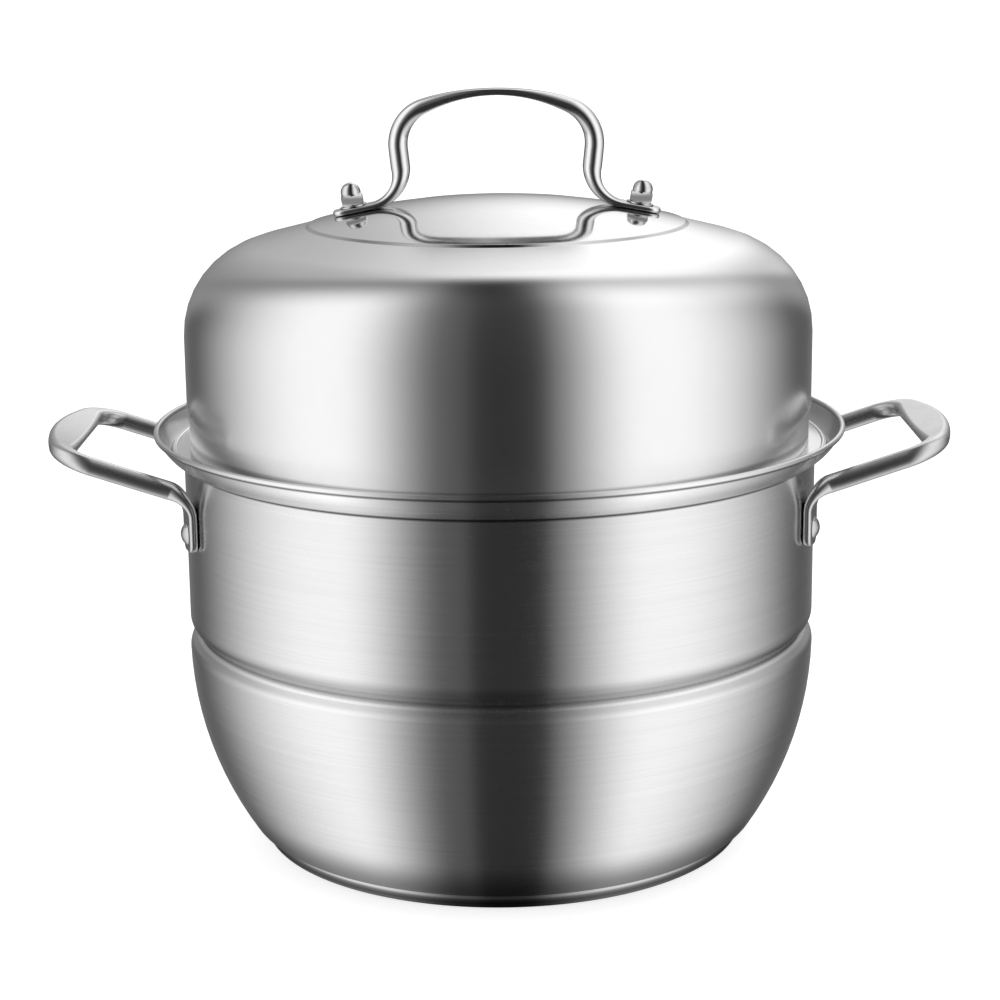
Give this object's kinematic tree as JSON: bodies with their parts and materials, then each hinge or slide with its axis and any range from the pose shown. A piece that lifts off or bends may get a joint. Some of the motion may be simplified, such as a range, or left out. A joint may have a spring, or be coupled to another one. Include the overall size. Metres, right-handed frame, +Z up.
{
  "type": "steamer pot",
  "caption": "Two-tier stainless steel steamer pot with a waisted bowl, riveted loop side handles, lift-out steam plates and a tall domed lid with a bolted arch handle.",
  "frame": {"origin": "middle of the flat underside of the base", "axes": "+Z up, +X to the right through the right side handle, -Y towards the front"},
  "size_m": [0.4294, 0.33, 0.3602],
  "materials": {
    "brushed_sheet": "brushed",
    "polished_steel": "polished",
    "base_aluminium": "plain",
    "seal_rubber": "silicone"
  },
  "bodies": {
    "pot": {"pot_body": "brushed_sheet", "base_core": "base_aluminium", "base_cap": "brushed_sheet", "left_side_handle": "polished_steel", "right_side_handle": "polished_steel", "left_front_rivet": "polished_steel", "left_rear_rivet": "polished_steel", "right_front_rivet": "polished_steel", "right_rear_rivet": "polished_steel"},
    "lower_plate": {"lower_steam_plate": "brushed_sheet"},
    "upper_plate": {"upper_steam_plate": "brushed_sheet"},
    "lid": {"lid_shell": "brushed_sheet", "lid_handle": "polished_steel", "left_lid_screw": "polished_steel", "left_sealing_washer": "seal_rubber", "left_nut_washer": "polished_steel", "left_cap_nut": "polished_steel", "right_lid_screw": "polished_steel", "right_sealing_washer": "seal_rubber", "right_nut_washer": "polished_steel", "right_cap_nut": "polished_steel"}
  },
  "joints": [
    {"name": "lower_plate_lift", "type": "slide", "parent": "pot", "child": "lower_plate", "axis": [0, 0, 1], "range_m": [0, 0.11]},
    {"name": "upper_plate_lift", "type": "slide", "parent": "lower_plate", "child": "upper_plate", "axis": [0, 0, 1], "range_m": [0, 0.07]},
    {"name": "lid_lift", "type": "slide", "parent": "upper_plate", "child": "lid", "axis": [0, 0, 1], "range_m": [0, 0.12]}
  ]
}
